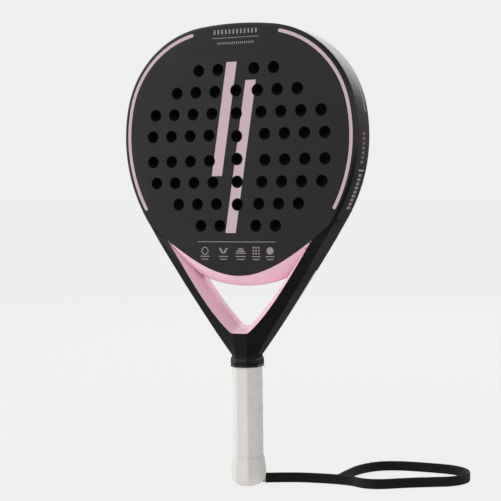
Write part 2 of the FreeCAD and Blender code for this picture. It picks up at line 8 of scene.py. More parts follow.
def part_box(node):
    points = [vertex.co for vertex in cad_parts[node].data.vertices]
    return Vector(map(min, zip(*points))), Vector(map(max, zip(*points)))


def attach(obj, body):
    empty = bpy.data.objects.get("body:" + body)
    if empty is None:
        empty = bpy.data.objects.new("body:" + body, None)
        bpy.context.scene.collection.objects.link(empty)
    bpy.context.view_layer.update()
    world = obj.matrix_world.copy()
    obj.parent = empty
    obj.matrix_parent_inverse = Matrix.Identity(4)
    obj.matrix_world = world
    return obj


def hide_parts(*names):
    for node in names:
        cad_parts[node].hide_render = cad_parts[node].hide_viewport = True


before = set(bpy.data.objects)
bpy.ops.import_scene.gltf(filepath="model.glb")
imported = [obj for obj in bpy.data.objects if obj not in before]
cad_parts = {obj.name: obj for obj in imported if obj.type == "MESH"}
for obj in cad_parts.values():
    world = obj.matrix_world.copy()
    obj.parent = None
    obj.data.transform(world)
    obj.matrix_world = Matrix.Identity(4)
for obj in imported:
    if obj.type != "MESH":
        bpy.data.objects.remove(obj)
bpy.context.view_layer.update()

MM = 0.001


# ---------------------------------------------------------------- camera

# A long lens in front of the racket and to its right, rolled by less than one degree.
camera_data = bpy.data.cameras.new("camera")
camera_data.sensor_width = 36.0
camera_data.lens = 100.6
camera_data.dof.use_dof = False
camera = bpy.data.objects.new("camera", camera_data)
bpy.context.scene.collection.objects.link(camera)
camera.location = (0.56800, -1.26015, 0.28900)
aim = Vector((0.00487, 0.0, 0.23306))
roll = math.radians(-0.72)
camera.rotation_mode = "QUATERNION"
level_look = (aim - camera.location).to_track_quat("-Z", "Y")
camera.rotation_quaternion = level_look @ Quaternion((0, 0, 1), roll)
bpy.context.scene.camera = camera


# ---------------------------------------------------------------- wrist strap

# A flat nylon webbing strap. It leaves the butt cap's slot, lies on its edge along the ground,
# opens into a loop for the wrist and comes back to its own stem, where a bar tack holds it.


def placed(name, bm):
    """A new object in the scene with this mesh."""
    mesh = bpy.data.meshes.new(name)
    bm.to_mesh(mesh)
    bm.free()
    made = bpy.data.objects.new(name, mesh)
    bpy.context.scene.collection.objects.link(made)
    return made


def finished_mesh(made):
    """The mesh that an object's modifiers make of it."""
    bpy.context.view_layer.update()
    shown = made.evaluated_get(bpy.context.evaluated_depsgraph_get())
    return bpy.data.meshes.new_from_object(shown)


def piece(name, bm, body, materials, turn_out=True):
    """A finished mesh as an object at the origin that rides on a CAD body."""
    if turn_out:
        bmesh.ops.recalc_face_normals(bm, faces=bm.faces)
    made = placed(name, bm)
    for material in materials:
        made.data.materials.append(material)
    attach(made, body)
    return made


def smooth(made, degrees):
    """Smooth shading, with creases at edges sharper than this."""
    for face in made.data.polygons:
        face.use_smooth = True
    made.data.set_sharp_from_angle(angle=math.radians(degrees))


def colour(code):
    """Linear colour of a six-figure sRGB code."""
    parts = [int(code[i:i + 2], 16) / 255 for i in (0, 2, 4)]
    return [p / 12.92 if p <= 0.04045 else ((p + 0.055) / 1.055) ** 2.4 for p in parts] + [1.0]


def add(owner, kind, inputs=(), **settings):
    """A node in a material, world or node tree; an input is a value or another node's output."""
    tree = getattr(owner, "node_tree", owner)
    node = tree.nodes.new(kind)
    for name, value in settings.items():
        setattr(node, name, value)
    for name, value in dict(inputs).items():
        if isinstance(value, bpy.types.NodeSocket):
            tree.links.new(value, node.inputs[name])
        else:
            node.inputs[name].default_value = value
    return node


def new_material(name):
    """An empty node material, its object coordinates in millimetres, and its shader."""
    material = bpy.data.materials.new(name)
    material.use_nodes = True
    material.node_tree.nodes.clear()
    place = add(material, "ShaderNodeTexCoord").outputs["Object"]
    scaled = add(material, "ShaderNodeVectorMath", {0: place, 1: (1000, 1000, 1000)},
                 operation="MULTIPLY")
    shader = add(material, "ShaderNodeBsdfPrincipled")
    add(material, "ShaderNodeOutputMaterial", {"Surface": shader.outputs["BSDF"]})
    return material, scaled.outputs[0], shader


def drive(material, shader, name, source):
    """Links a texture's output to one of the shader's sockets."""
    material.node_tree.links.new(source, shader.inputs[name])


strap_low, strap_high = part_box("strap")
strap_width = strap_high.z - strap_low.z
strap_thick = 2.6 * MM
strap_level = (strap_low.z + strap_high.z) / 2
pivot = Vector((12.445, 13.945, strap_level / MM)) * MM
ROUTE = [(34.0, 25.0), (62.0, 30.5), (96.0, 31.0), (112.0, 20.5), (130.0, 23.0), (150.0, 38.5),
         (175.0, 52.0), (193.0, 62.0), (202.0, 82.0), (196.0, 103.0), (178.0, 117.0),
         (150.0, 119.5), (118.0, 119.0), (96.0, 108.0), (85.0, 83.0), (83.0, 58.0), (83.0, 32.1)]
into_slot = Vector((-1, -1, 0)).normalized() * 0.7 * MM
route = [pivot + into_slot] + [Vector((x * MM, y * MM, strap_level)) for x, y in ROUTE]


def centreline(name, points):
    """Points along a smooth spline of third order through its control points."""
    data = bpy.data.curves.new(name, "CURVE")
    data.dimensions = "3D"
    data.resolution_u = 24
    spline = data.splines.new("NURBS")
    spline.points.add(len(points) - 1)
    for control, point in zip(spline.points, points):
        control.co = (*point, 1.0)
    spline.order_u = 3
    spline.use_endpoint_u = True
    holder = bpy.data.objects.new(name, data)
    bpy.context.scene.collection.objects.link(holder)
    bpy.context.view_layer.update()
    mesh = bpy.data.meshes.new_from_object(holder)
    line = [v.co.copy() for v in mesh.vertices]
    bpy.data.objects.remove(holder)
    bpy.data.meshes.remove(mesh)
    return line


def webbing_section(half_thick, half_width, ribs, rib_depth):
    """The band's section as (across, up): rounded edges and lengthwise ribs on both sides."""
    section = []
    steps = ribs * 6
    for i in range(steps + 1):
        up = -1 + 2 * i / steps
        rounding = (1 - abs(up) ** 8) ** 0.5
        rib = rib_depth * (0.5 + 0.5 * math.cos(2 * math.pi * ribs * (up + 1) / 2))
        section.append(((half_thick - rib) * rounding, up * half_width))
    return section + [(-across, up) for across, up in reversed(section[1:-1])]


def sweep(bm, line, section, uv_scale):
    """Carries the section along a level line and closes both ends; UVs are in millimetres."""
    rings = []
    lengths = [0.0]
    for i, point in enumerate(line):
        ahead = (line[min(i + 1, len(line) - 1)] - line[max(i - 1, 0)]).normalized()
        side = Vector((-ahead.y, ahead.x, 0)).normalized()
        rings.append([bm.verts.new(point + side * across + Vector((0, 0, up)))
                      for across, up in section])
        if i:
            lengths.append(lengths[-1] + (point - line[i - 1]).length)
    layer = bm.loops.layers.uv.new("along")
    around = len(section)
    for i in range(len(rings) - 1):
        for j in range(around):
            k = (j + 1) % around
            face = bm.faces.new((rings[i][j], rings[i][k], rings[i + 1][k], rings[i + 1][j]))
            face.smooth = True
            for loop, (a, b) in zip(face.loops, ((i, j), (i, j + 1), (i + 1, j + 1), (i + 1, j))):
                up = section[b % around][1]
                loop[layer].uv = (lengths[a] * uv_scale, up * uv_scale)
    bm.faces.new(rings[0])
    bm.faces.new(reversed(rings[-1]))


# Black nylon webbing: lengthwise ribs crossed by fine weft threads, slightly worn and dusty.
webbing, place, shader = new_material("woven_black_nylon")
along = add(webbing, "ShaderNodeUVMap", uv_map="along").outputs["UV"]
warp = add(webbing, "ShaderNodeTexWave", {"Vector": along, "Scale": 0.55, "Distortion": 0.6,
           "Detail": 1.0, "Detail Scale": 3.0}, bands_direction="X")
weft = add(webbing, "ShaderNodeTexWave", {"Vector": along, "Scale": 0.42, "Distortion": 0.3},
           bands_direction="Y")
weave = add(webbing, "ShaderNodeMath", {0: warp.outputs["Fac"], 1: weft.outputs["Fac"]},
            operation="MULTIPLY")
fuzz = add(webbing, "ShaderNodeTexNoise", {"Vector": along, "Scale": 1.3, "Detail": 5.0})
tint = add(webbing, "ShaderNodeMix", {"Factor": weave.outputs[0], 6: colour("0d0c0d"),
           7: colour("252324")}, data_type="RGBA")
wear = add(webbing, "ShaderNodeMapRange", {"Value": fuzz.outputs["Fac"], "From Min": 0.35,
           "From Max": 0.75, "To Min": 0.62, "To Max": 0.9})
bump = add(webbing, "ShaderNodeBump", {"Height": weave.outputs[0], "Strength": 0.7,
           "Distance": 0.25 * MM})
drive(webbing, shader, "Base Color", tint.outputs[2])
drive(webbing, shader, "Roughness", wear.outputs[0])
drive(webbing, shader, "Normal", bump.outputs[0])
shader.inputs["Sheen Weight"].default_value = 0.15
shader.inputs["Sheen Roughness"].default_value = 0.4
shader.inputs["Specular IOR Level"].default_value = 0.3

strap_line = centreline("strap_route", route)
bm = bmesh.new()
sweep(bm, strap_line, webbing_section(strap_thick / 2, strap_width / 2, 5, 0.12 * MM), 1 / MM)
strap = piece("wrist_strap_webbing", bm, "wrist_strap", [webbing])
smooth(strap, 60)
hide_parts("strap")

# The bar tack: a box of zigzag thread sewn through the strap's end and the stem. It is one
# thread path; geometry nodes lay a stitch on every step of it.
tack_low, tack_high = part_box("strap_stitching")
tack_middle = (tack_low + tack_high) / 2
tack_half = Vector((3.2, 0, 3.2)) * MM
stitch_length = 1.1 * MM
STITCH_HALF = 0.46  # half of a stitch as a share of its pitch

# Black bonded nylon thread, a little shinier than the webbing.
thread, place, shader = new_material("bonded_black_thread")
twist = add(thread, "ShaderNodeTexWave", {"Vector": place, "Scale": 3.0, "Distortion": 1.0},
            bands_direction="DIAGONAL")
bump = add(thread, "ShaderNodeBump", {"Height": twist.outputs["Fac"], "Strength": 0.4,
           "Distance": 0.05 * MM})
tint = add(thread, "ShaderNodeMix", {"Factor": twist.outputs["Fac"], 6: colour("161515"),
           7: colour("2c2a2b")}, data_type="RGBA")
drive(thread, shader, "Base Color", tint.outputs[2])
drive(thread, shader, "Normal", bump.outputs[0])
shader.inputs["Roughness"].default_value = 0.5


def stitch_tree(material):
    """Geometry nodes that lay thread stitches along the edges of a mesh."""
    tree = bpy.data.node_groups.new("stitches", "GeometryNodeTree")
    for name, kind in (("Path", "Geometry"), ("Stitch Length", "Float"),
                       ("Thread Radius", "Float")):
        tree.interface.new_socket(name, in_out="INPUT", socket_type="NodeSocket" + kind)
    tree.interface.new_socket("Stitches", in_out="OUTPUT", socket_type="NodeSocketGeometry")
    given = add(tree, "NodeGroupInput").outputs
    curve = add(tree, "GeometryNodeMeshToCurve", {0: given["Path"]})
    steps = add(tree, "GeometryNodeResampleCurve", {"Curve": curve.outputs[0],
                "Length": given["Stitch Length"]}, mode="LENGTH")
    points = add(tree, "GeometryNodeCurveToPoints", {0: steps.outputs[0]}, mode="EVALUATED")
    bead = add(tree, "GeometryNodeMeshUVSphere", {"Segments": 12, "Rings": 8, "Radius": 1.0})
    half = add(tree, "ShaderNodeMath", {0: given["Stitch Length"], 1: STITCH_HALF},
               operation="MULTIPLY")
    shape = add(tree, "ShaderNodeCombineXYZ", {"X": given["Thread Radius"],
                "Y": given["Thread Radius"], "Z": half.outputs[0]})
    lay = add(tree, "GeometryNodeInstanceOnPoints", {"Points": points.outputs["Points"],
              "Instance": bead.outputs[0], "Rotation": points.outputs["Rotation"],
              "Scale": shape.outputs[0]})
    real = add(tree, "GeometryNodeRealizeInstances", {0: lay.outputs[0]})
    paint = add(tree, "GeometryNodeSetMaterial", {"Geometry": real.outputs[0],
                "Material": material})
    add(tree, "NodeGroupOutput", {0: paint.outputs[0]})
    return tree


def stitched(name, paths, length, radius, material):
    """A plain mesh of stitches laid along these paths by the geometry nodes."""
    bm = bmesh.new()
    for path in paths:
        corners = [bm.verts.new(point) for point in path]
        for a, b in zip(corners, corners[1:]):
            bm.edges.new((a, b))
    holder = placed(name + "_paths", bm)
    tree = stitch_tree(material)
    sewing = holder.modifiers.new("sewing", "NODES")
    sewing.node_group = tree
    wanted = {"Stitch Length": length, "Thread Radius": radius}
    for socket in tree.interface.items_tree:
        if socket.name in wanted:
            sewing[socket.identifier] = wanted[socket.name]
    made = finished_mesh(holder)
    bpy.data.objects.remove(holder)
    made.name = name
    result = bpy.data.objects.new(name, made)
    bpy.context.scene.collection.objects.link(result)
    return result


near_side = tack_low.y + 0.25 * MM
rows = []
zigzags = 6
for i in range(zigzags + 1):
    x = tack_middle.x - tack_half.x + 2 * tack_half.x * i / zigzags
    rows.append([Vector((x, near_side, tack_middle.z - tack_half.z)),
                 Vector((x, near_side, tack_middle.z + tack_half.z))])
for side in (-1, 1):
    z = tack_middle.z + side * tack_half.z
    rows.append([Vector((tack_middle.x - tack_half.x, near_side, z)),
                 Vector((tack_middle.x + tack_half.x, near_side, z))])
stitches = stitched("strap_bar_tack", rows, stitch_length, 0.24 * MM, thread)
for face in stitches.data.polygons:
    face.use_smooth = True
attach(stitches, "wrist_strap")
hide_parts("strap_stitching")


# ---------------------------------------------------------------- outline of the head

# The head's outline as in the moulding tool: four arcs each side, each tangent to the next.
head_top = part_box("frame_tube")[1].z
ARCS = [(306.0, 7.14), (97.1, 70.8), (152.8, 43.3), (2258.0, 3.5)]


def outline_point(heading, inset):
    """The (x, z) point where the outline runs at this heading, moved inwards; minus is left."""
    place = Vector((0.0, head_top))
    turned = 0.0
    wanted = abs(heading)
    for radius, sweep_angle in ARCS:
        here = min(wanted, turned + sweep_angle)
        start = Vector((math.sin(math.radians(turned)), math.cos(math.radians(turned))))
        end = Vector((math.sin(math.radians(here)), math.cos(math.radians(here))))
        place = place + (end - start) * radius * MM
        turned += sweep_angle
        if wanted <= turned:
            break
    place = place - end * inset
    return Vector((math.copysign(place.x, heading), place.y))


# ---------------------------------------------------------------- moulded frame

# The carbon and glass tube of the head, its two arms and the bridge over the throat, moulded
# together and painted matt black, with gloss pink in the throat and on the arms' rear sides.
# The rim and the throat's walls are swept anew here, so that they shine smoothly.
half_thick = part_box("frame_tube")[1].y
PATTERN_CENTRE = 334 * MM
ARM_TOP = 262 * MM
THROAT_HIGH = 246 * MM
THROAT_LOW = 150 * MM
FRAME_MIDDLE = 186 * MM
BRIDGE_MIDDLE = 150 * MM
REAR_PINK_FROM = 11 * MM
REAR_PINK_TOP = 213 * MM
NECK_TOP = 131 * MM
RIM_BEVEL = 2.5 * MM
EDGE_ROUNDING = 1.3 * MM
SMOOTH_ANGLE = 28
FLAT_FACING = 0.998  # how far a flat face or facet looks along the racket's depth
RIM_FACING = 0.4
RIM_REACH = 4 * MM
RIM_HEADINGS = range(0, 119)
FLAT_ANGLE = math.radians(0.1)
SHARP_ANGLE = math.radians(12)
FACET_FACING = 0.3
FACET_DEPTH = 7 * MM
NECK_MIDDLE = 4 * MM

# Cubic edges of the throat as (x, z) poles in millimetres: on the front face, then half way
# through, where the walls bulge furthest into the opening.
TIP = ((77.0, 243.7), (48.4, 208.8))
ARM_FOOT = ((12.0, 155.3), (8.0, 161.7))
SILL_END = ((6.7, 152.4), (3.0, 159.2))
BRIDGE_POLE = ((15.6, 197.4), (20.9, 194.8))
ARM_POLES = (((53.9, 207.7), (34.9, 175.7)), ((35.9, 193.7), (20.4, 174.9)))
FOOT_POLE = ((8.75, 152.4), (5.6, 159.2))


def merged_copy(node):
    """A CAD node's mesh with the loose triangles of its flat faces joined."""
    bm = bmesh.new()
    bm.from_mesh(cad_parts[node].data)
    bmesh.ops.remove_doubles(bm, verts=bm.verts, dist=0.002 * MM)
    bm.normal_update()
    flat = [e for e in bm.edges if len(e.link_faces) == 2
            and e.calc_face_angle(1.0) < FLAT_ANGLE]
    bmesh.ops.dissolve_limit(bm, angle_limit=FLAT_ANGLE, verts=bm.verts, edges=flat)
    return bm


def cut(bm, place, normal):
    """Edges where a plane crosses the mesh, so that a surface or paint can end on a line."""
    everything = bm.verts[:] + bm.edges[:] + bm.faces[:]
    bmesh.ops.bisect_plane(bm, geom=everything, plane_co=place, plane_no=normal, dist=1e-7)


def looks_in(face, middle_height):
    """Whether a face looks towards a point on the throat's middle line."""
    centre = face.calc_center_median()
    to_middle = Vector((-centre.x, 0, middle_height - centre.z))
    return face.normal.dot(to_middle) > 0


def in_throat(face, middle_height):
    """Whether a face is a wall of the throat rather than a face or facet of the racket."""
    height = face.calc_center_median().z
    if not THROAT_LOW < height < THROAT_HIGH or abs(face.normal.y) > FLAT_FACING:
        return False
    return looks_in(face, middle_height)


def on_rim(face):
    """Whether a face is on the outside of the head's rim."""
    centre = face.calc_center_median()
    if centre.z < ARM_TOP:
        return False
    out = Vector((centre.x, 0, centre.z - PATTERN_CENTRE)).normalized()
    return face.normal.dot(out) > RIM_FACING and near_outline(centre)


def near_outline(point):
    """Whether a point of the head is within a few millimetres of its outline."""
    nearest = min((outline_point(h, 0) - Vector((abs(point.x), point.z))).length
                  for h in RIM_HEADINGS)
    return nearest < RIM_REACH


def cubic(poles, share):
    """The point of a cubic curve through (x, z) poles at a share of its way, in metres."""
    rest = 1 - share
    weights = (rest ** 3, 3 * rest * rest * share, 3 * rest * share * share, share ** 3)
    return Vector((sum(w * p[0] for w, p in zip(weights, poles)),
                   sum(w * p[1] for w, p in zip(weights, poles)))) * MM


def flip(point):
    return (-point[0], point[1])


def partway(a, b, share):
    return (a[0] + (b[0] - a[0]) * share, a[1] + (b[1] - a[1]) * share)


def throat_curves(level):
    """The bridge's edge, then the right arm, corner and sill of the throat, as poles."""
    tip, foot, end = TIP[level], ARM_FOOT[level], SILL_END[level]
    pole, knee = BRIDGE_POLE[level], FOOT_POLE[level]
    bridge = [flip(tip), flip(pole), pole, tip]
    arm = [tip, *ARM_POLES[level], foot]
    corner = [foot, partway(foot, knee, 2 / 3), partway(end, knee, 2 / 3), end]
    sill = [end, partway(end, flip(end), 1 / 3), partway(end, flip(end), 2 / 3), flip(end)]
    left = [[flip(point) for point in reversed(line)] for line in (corner, arm)]
    return [bridge], [arm, corner, sill] + left


def throat_wall(bm, fronts, middles, steps, middle_height):
    """Walls between the throat's edges on both faces, bulging most half way through."""
    depths = 24
    columns = []
    for front, middle in zip(fronts, middles):
        for i in range(steps + 1):
            if columns and i == 0:
                continue
            near = cubic(front, i / steps)
            deep = cubic(middle, i / steps)
            column = []
            for j in range(depths + 1):
                level = -1 + 2 * j / depths
                flat = near.lerp(deep, 1 - level * level)
                column.append(bm.verts.new((flat.x, level * half_thick, flat.y)))
            columns.append(column)
    for a, b in zip(columns, columns[1:]):
        for j in range(depths):
            face = bm.faces.new((a[j], b[j], b[j + 1], a[j + 1]))
            face.material_index = 1
            face.normal_update()
            if not looks_in(face, middle_height):
                face.normal_flip()


def rim_section():
    """The rim's section as (inset, depth): front bevel, side and rear bevel, edges rounded."""
    corners = [(RIM_BEVEL, -half_thick), (0.0, RIM_BEVEL - half_thick),
               (0.0, half_thick - RIM_BEVEL), (RIM_BEVEL, half_thick)]
    section = [Vector(corners[0])]
    for before, here, after in zip(corners, corners[1:], corners[2:]):
        here = Vector(here)
        start = here + (Vector(before) - here).normalized() * EDGE_ROUNDING
        end = here + (Vector(after) - here).normalized() * EDGE_ROUNDING
        for step in range(7):
            t = step / 6
            section.append(start * (1 - t) ** 2 + here * 2 * t * (1 - t) + end * t * t)
    return section + [Vector(corners[-1])]


def rim_sweep(bm):
    """The head's rim from the top of one arm over the crown to the other."""
    section = rim_section()
    last = heading_of(ARM_TOP)
    steps = 240
    rings = []
    for i in range(steps + 1):
        heading = last * (2 * i / steps - 1)
        ring = []
        for inset, depth in section:
            flat = outline_point(heading, inset)
            ring.append(bm.verts.new((flat.x, depth, flat.y)))
        rings.append(ring)
    for a, b in zip(rings, rings[1:]):
        for j in range(len(section) - 1):
            face = bm.faces.new((a[j], a[j + 1], b[j + 1], b[j]))
            face.normal_update()
            centre = face.calc_center_median() - Vector((0, 0, PATTERN_CENTRE))
            if face.normal.dot(centre) < 0:
                face.normal_flip()


def heading_of(height):
    """The heading at which the outline comes down to a height, on the right."""
    low, high = 90.0, sum(angle for _, angle in ARCS)
    for _ in range(40):
        middle = (low + high) / 2
        if outline_point(middle, 0).y > height:
            low = middle
        else:
            high = middle
    return low


def bevel_edges(made, width, steps, chosen):
    """Rounds the chosen edges of a merged mesh with a weighted bevel."""
    weights = made.data.attributes.new("bevel_weight_edge", "FLOAT", "EDGE")
    for edge, wanted in zip(made.data.edges, chosen):
        weights.data[edge.index].value = wanted
    bevel = made.modifiers.new("rounded_edges", "BEVEL")
    bevel.width = width
    bevel.segments = steps
    bevel.limit_method = "WEIGHT"
    bevel.harden_normals = True
    bevel.use_clamp_overlap = True


# Matt black two-pack lacquer over the moulding: slight orange peel and a faint cloudy tone.
black_paint, place, shader = new_material("matt_black_lacquer")
peel = add(black_paint, "ShaderNodeTexNoise", {"Vector": place, "Scale": 0.9, "Detail": 3.0})
cloud = add(black_paint, "ShaderNodeTexNoise", {"Vector": place, "Scale": 0.05, "Detail": 2.0})
tint = add(black_paint, "ShaderNodeMix", {"Factor": cloud.outputs["Fac"], 6: colour("0c0b0b"),
           7: colour("111010")}, data_type="RGBA")
gloss = add(black_paint, "ShaderNodeMapRange", {"Value": peel.outputs["Fac"], "From Min": 0.3,
            "From Max": 0.7, "To Min": 0.3, "To Max": 0.4})
bump = add(black_paint, "ShaderNodeBump", {"Height": peel.outputs["Fac"], "Strength": 0.02,
           "Distance": 0.05 * MM})
drive(black_paint, shader, "Base Color", tint.outputs[2])
drive(black_paint, shader, "Roughness", gloss.outputs[0])
drive(black_paint, shader, "Normal", bump.outputs[0])

# Gloss pink lacquer, sprayed a little unevenly.
pink_paint, place, shader = new_material("gloss_pink_lacquer")
cloud = add(pink_paint, "ShaderNodeTexNoise", {"Vector": place, "Scale": 0.04, "Detail": 2.0})
peel = add(pink_paint, "ShaderNodeTexNoise", {"Vector": place, "Scale": 1.2, "Detail": 2.0})
tint = add(pink_paint, "ShaderNodeMix", {"Factor": cloud.outputs["Fac"], 6: colour("f6c6da"),
           7: colour("f9d6e4")}, data_type="RGBA")
gloss = add(pink_paint, "ShaderNodeMapRange", {"Value": peel.outputs["Fac"], "From Min": 0.3,
            "From Max": 0.7, "To Min": 0.38, "To Max": 0.46})
drive(pink_paint, shader, "Base Color", tint.outputs[2])
drive(pink_paint, shader, "Roughness", gloss.outputs[0])

bridge_fronts, arm_fronts = throat_curves(0)
bridge_middles, arm_middles = throat_curves(1)
for node in ("frame_tube", "bridge_tube"):
    bm = merged_copy(node)
    is_frame = node == "frame_tube"
    looked_at = FRAME_MIDDLE if is_frame else BRIDGE_MIDDLE
    if is_frame:
        cut(bm, (0, REAR_PINK_FROM, 0), (0, 1, 0))
        for height in (REAR_PINK_TOP, NECK_TOP, ARM_TOP):
            cut(bm, (0, 0, height), (0, 0, 1))
    bm.normal_update()
    swept = [face for face in bm.faces if in_throat(face, looked_at) or on_rim(face)]
    bmesh.ops.delete(bm, geom=swept, context="FACES")
    for face in bm.faces:
        centre = face.calc_center_median()
        rear_side = centre.y > REAR_PINK_FROM and NECK_TOP < centre.z < REAR_PINK_TOP
        face.material_index = 1 if rear_side and is_frame else 0
    if is_frame:
        throat_wall(bm, arm_fronts, arm_middles, 16, looked_at)
        rim_sweep(bm)
    else:
        throat_wall(bm, bridge_fronts, bridge_middles, 48, looked_at)
    made = piece(node + "_painted", bm, "racket", [black_paint, pink_paint],
                 turn_out=False)
    smooth(made, SMOOTH_ANGLE)
    faces_of = {}
    for face in made.data.polygons:
        for key in face.edge_keys:
            faces_of.setdefault(key, []).append(face.normal)
    chosen = []
    for edge in made.data.edges:
        normals = faces_of.get(edge.key, [])
        ends = [made.data.vertices[v].co for v in edge.vertices]
        outer = len(normals) == 2 and is_frame and all(end.z <= ARM_TOP for end in ends)
        if outer:
            a, b = normals
            sharp = a.angle(b, 0.0) > SHARP_ANGLE
            facing = max(abs(a.y), abs(b.y)) > FACET_FACING
            deep = min(abs(end.y) for end in ends) > FACET_DEPTH
            outer = sharp and facing and deep and abs(ends[0].x) > NECK_MIDDLE
        chosen.append(1.0 if outer else 0.0)
    bevel_edges(made, EDGE_ROUNDING, 4, chosen)
    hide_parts(node)


# ---------------------------------------------------------------- flat marks


def plate(bm, outline, near, far):
    """A thin closed plate from a flat outline of (x, z) points between two depths."""
    front = [bm.verts.new((x, near, z)) for x, z in outline]
    back = [bm.verts.new((x, far, z)) for x, z in outline]
    bm.faces.new(front)
    bm.faces.new(reversed(back))
    for i in range(len(front)):
        j = (i + 1) % len(front)
        bm.faces.new((front[j], front[i], back[i], back[j]))


def round_end(centre, start, half_turn, steps=8):
    """Points of a half circle about the centre, from its start, for a stripe's round end."""
    arm = start - centre
    points = []
    for i in range(1, steps):
        angle = half_turn * i / steps
        points.append(centre + Vector((arm.x * math.cos(angle) - arm.y * math.sin(angle),
                                       arm.x * math.sin(angle) + arm.y * math.cos(angle))))
    return points


def edge_stripe(first, last, inset, width):
    """Outline of a stripe that follows the head's edge between two headings, ends rounded."""
    steps = 48
    headings = [first + (last - first) * i / steps for i in range(steps + 1)]
    outer = [outline_point(h, inset - width / 2) for h in headings]
    inner = [outline_point(h, inset + width / 2) for h in headings]
    turn = -math.pi if last > first else math.pi
    far_cap = round_end(outline_point(last, inset), outer[-1], turn)
    near_cap = round_end(outline_point(first, inset), inner[0], turn)
    return outer + far_cap + inner[::-1] + near_cap


def bar(cx, cz, length, width, lean):
    """Outline of a straight bar about a centre, leaning to the right by an angle."""
    up = Vector((math.sin(math.radians(lean)), math.cos(math.radians(lean)))) * length / 2
    side = Vector((width / 2, 0.0))
    middle = Vector((cx, cz))
    return [middle - up - side, middle - up + side, middle + up + side, middle + up - side]


def disc(cx, cz, radius, steps=28):
    turns = [2 * math.pi * i / steps for i in range(steps)]
    return [Vector((cx + radius * math.cos(t), cz + radius * math.sin(t))) for t in turns]


# ---------------------------------------------------------------- faces and core

# Two skins of carbon laminate, one each side of a core of EVA foam, drilled right through. The
# outside is sanded matt, with a fine grit in the last coat.
laminate, place, shader = new_material("sanded_carbon_laminate")
grit = add(laminate, "ShaderNodeTexNoise", {"Vector": place, "Scale": 1.6, "Detail": 4.0,
           "Roughness": 0.7})
cloud = add(laminate, "ShaderNodeTexNoise", {"Vector": place, "Scale": 0.03, "Detail": 3.0})
speck = add(laminate, "ShaderNodeMapRange", {"Value": grit.outputs["Fac"], "From Min": 0.35,
            "From Max": 0.7})
tint = add(laminate, "ShaderNodeMix", {"Factor": speck.outputs[0], 6: colour("1a1818"),
           7: colour("2b2827")}, data_type="RGBA")
rough = add(laminate, "ShaderNodeMapRange", {"Value": cloud.outputs["Fac"], "From Min": 0.3,
            "From Max": 0.7, "To Min": 0.5, "To Max": 0.6})
bump = add(laminate, "ShaderNodeBump", {"Height": grit.outputs["Fac"], "Strength": 0.35,
           "Distance": 0.12 * MM})
drive(laminate, shader, "Base Color", tint.outputs[2])
drive(laminate, shader, "Roughness", rough.outputs[0])
drive(laminate, shader, "Normal", bump.outputs[0])
shader.inputs["Specular IOR Level"].default_value = 0.3

# Closed-cell black EVA foam, seen only in the drilled holes.
foam, place, shader = new_material("black_eva_foam")
cells = add(foam, "ShaderNodeTexVoronoi", {"Vector": place, "Scale": 1.4})
tint = add(foam, "ShaderNodeMix", {"Factor": cells.outputs["Distance"], 6: colour("060505"),
           7: colour("121011")}, data_type="RGBA")
bump = add(foam, "ShaderNodeBump", {"Height": cells.outputs["Distance"], "Strength": 0.5,
           "Distance": 0.2 * MM})
drive(foam, shader, "Base Color", tint.outputs[2])
drive(foam, shader, "Normal", bump.outputs[0])
shader.inputs["Roughness"].default_value = 0.9

HOLE_RADIUS = 5.9 * MM


def hole_places():
    """Centres of the drilled holes, as (x, z): eight rows and a centre column."""
    places = []
    for row, count in enumerate((4, 4, 3, 2)):
        rise = (12.5 + row * 21.2) * MM
        nearest = (29.7 - row * 3.5) * MM
        for column in range(count):
            across = nearest + column * 20.7 * MM
            places += [(sx * across, PATTERN_CENTRE + sz * rise) for sx in (1, -1)
                       for sz in (1, -1)]
    for step in (0.5, 1.5, 2.5):
        rise = step * 22.16 * MM
        places += [(0.0, PATTERN_CENTRE + rise), (0.0, PATTERN_CENTRE - rise)]
    return places


for node in ("front_face", "rear_face"):
    bm = merged_copy(node)
    made = piece(node + "_laminate", bm, "racket", [laminate])
    smooth(made, SMOOTH_ANGLE)
    chosen = []
    centres = [Vector(p) for p in hole_places()]
    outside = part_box(node)[0].y if node == "front_face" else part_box(node)[1].y
    for edge in made.data.edges:
        ends = [made.data.vertices[v].co for v in edge.vertices]
        on_outside = all(abs(end.y - outside) < 0.01 * MM for end in ends)
        at_hole = any(all(abs((Vector((end.x, end.z)) - c).length - HOLE_RADIUS) < 0.05 * MM
                          for end in ends) for c in centres)
        chosen.append(1.0 if on_outside and at_hole else 0.0)
    bevel_edges(made, 0.3 * MM, 2, chosen)
    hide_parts(node)
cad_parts["eva_core"].data.materials.clear()
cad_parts["eva_core"].data.materials.append(foam)


# ---------------------------------------------------------------- printed marks

# Screen-printed marks on the faces and rim, a few hundredths of a millimetre thick: a pink
# stripe down each edge, two plain slanted bars, plain rules and small signs in grey.
INK = 0.03 * MM
UNDER_INK = 0.05 * MM

# Satin pink screen ink with the laminate's grit showing through.
pink_ink, place, shader = new_material("pink_screen_ink")
grit = add(pink_ink, "ShaderNodeTexNoise", {"Vector": place, "Scale": 1.6, "Detail": 4.0,
           "Roughness": 0.7})
tint = add(pink_ink, "ShaderNodeMix", {"Factor": grit.outputs["Fac"], 6: colour("c3a9af"),
           7: colour("d6bdc3")}, data_type="RGBA")
bump = add(pink_ink, "ShaderNodeBump", {"Height": grit.outputs["Fac"], "Strength": 0.25,
           "Distance": 0.1 * MM})
drive(pink_ink, shader, "Base Color", tint.outputs[2])
drive(pink_ink, shader, "Normal", bump.outputs[0])
shader.inputs["Roughness"].default_value = 0.5

